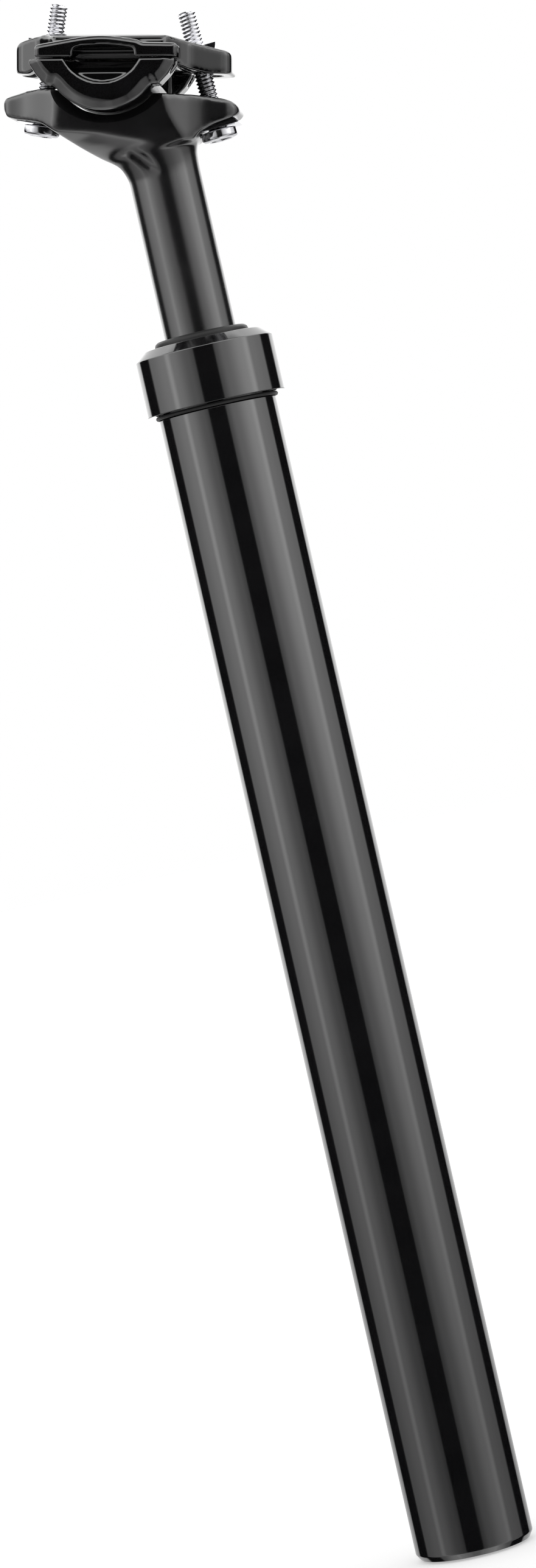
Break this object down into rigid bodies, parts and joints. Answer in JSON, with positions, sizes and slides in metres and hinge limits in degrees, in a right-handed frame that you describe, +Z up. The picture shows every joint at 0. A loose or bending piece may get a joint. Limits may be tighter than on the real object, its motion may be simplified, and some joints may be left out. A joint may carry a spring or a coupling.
{
  "type": "suspension seatpost",
  "caption": "Telescopic bicycle suspension seatpost: coil-sprung shaft in a tube, with a rocking two-bolt clamp that holds the saddle rails.",
  "frame": {"origin": "on the post's axis at the outer tube's bottom end", "axes": "+Z up the post to the saddle clamp, +X to the front of the bicycle, +Y to its left side"},
  "size_m": [0.0617, 0.055, 0.4214],
  "materials": {
    "gloss_black_anodised": "gloss black anodised",
    "polished_black_alloy": "polished black anodised",
    "satin_black_alloy": "brushed satin black anodised",
    "bright_steel": "bright plated",
    "spring_steel": "oiled spring steel",
    "black_rubber": "smooth seal rubber",
    "guide_nylon": "natural nylon",
    "key_brass": "machined",
    "amber_elastomer": "cast polyurethane"
  },
  "bodies": {
    "tube": {"outer_tube": "gloss_black_anodised", "top_collar": "gloss_black_anodised", "collar_seal_ring": "black_rubber", "dust_wiper": "black_rubber", "upper_guide_bush": "guide_nylon", "main_spring": "spring_steel", "elastomer_core": "amber_elastomer"},
    "shaft": {"head_and_shaft": "satin_black_alloy", "lower_guide_piston": "guide_nylon", "anti_rotation_key_1": "key_brass", "anti_rotation_key_2": "key_brass", "anti_rotation_key_3": "key_brass", "top_out_bumper": "amber_elastomer", "shaft_end_washer": "bright_steel", "shaft_end_screw": "bright_steel", "upper_spring_guide": "guide_nylon"},
    "clamp": {"lower_cradle": "polished_black_alloy", "upper_clamp": "polished_black_alloy"},
    "rear_washer": {"rear_bolt_washer": "bright_steel"},
    "rear_bolt": {"rear_bolt": "bright_steel"},
    "rear_nut": {"rear_barrel_nut": "bright_steel"},
    "front_washer": {"front_bolt_washer": "bright_steel"},
    "front_bolt": {"front_bolt": "bright_steel"},
    "front_nut": {"front_barrel_nut": "bright_steel"},
    "spring_seat": {"lower_spring_seat": "guide_nylon"},
    "preload_plug": {"preload_plug": "satin_black_alloy"}
  },
  "joints": [
    {"name": "suspension_travel", "type": "slide", "parent": "tube", "child": "shaft", "axis": [0, 0, 1], "range_m": [-0.04, 0], "stiffness_N_per_m": 18000, "springref_m": 0.004, "deforming": ["main_spring", "elastomer_core"]},
    {"name": "saddle_tilt", "type": "hinge", "parent": "shaft", "child": "clamp", "pos_m": [-0.00645, 0, 0.4037], "axis": [0, 1, 0], "range_deg": [-8, 8]},
    {"name": "rear_bolt_swing", "type": "hinge", "parent": "shaft", "child": "rear_washer", "pos_m": [-0.03016, 0, 0.38717], "axis": [0, 1, 0], "range_deg": [-1.5, 1.5]},
    {"name": "rear_bolt_turn", "type": "hinge", "parent": "rear_washer", "child": "rear_bolt", "pos_m": [-0.0288, 0, 0.39067], "axis": [0.3607, 0, 0.9327], "continuous": true},
    {"name": "rear_nut_swing", "type": "hinge", "parent": "clamp", "child": "rear_nut", "pos_m": [-0.0204, 0, 0.4124], "axis": [0, 1, 0], "range_deg": [-10, 10]},
    {"name": "front_bolt_swing", "type": "hinge", "parent": "shaft", "child": "front_washer", "pos_m": [0.01662, 0, 0.37525], "axis": [0, 1, 0], "range_deg": [-1.5, 1.5]},
    {"name": "front_bolt_turn", "type": "hinge", "parent": "front_washer", "child": "front_bolt", "pos_m": [0.01645, 0, 0.37899], "axis": [-0.046, 0, 0.9989], "continuous": true},
    {"name": "front_nut_swing", "type": "hinge", "parent": "clamp", "child": "front_nut", "pos_m": [0.01538, 0, 0.40207], "axis": [0, 1, 0], "range_deg": [-10, 10]},
    {"name": "preload_lift", "type": "slide", "parent": "tube", "child": "spring_seat", "axis": [0, 0, 1], "range_m": [0, 0.006]},
    {"name": "preload_turn", "type": "hinge", "parent": "spring_seat", "child": "preload_plug", "pos_m": [0, 0, 0.015], "axis": [0, 0, 1], "range_deg": [0, 1440]}
  ],
  "couplings": [
    {"joint": "rear_bolt_swing", "follows": "saddle_tilt", "ratio": 0.1109},
    {"joint": "rear_nut_swing", "follows": "saddle_tilt", "ratio": -0.8891},
    {"joint": "front_bolt_swing", "follows": "saddle_tilt", "ratio": -0.1052},
    {"joint": "front_nut_swing", "follows": "saddle_tilt", "ratio": -1.1052},
    {"joint": "preload_turn", "follows": "preload_lift", "rad_per_m": 4188.7}
  ]
}
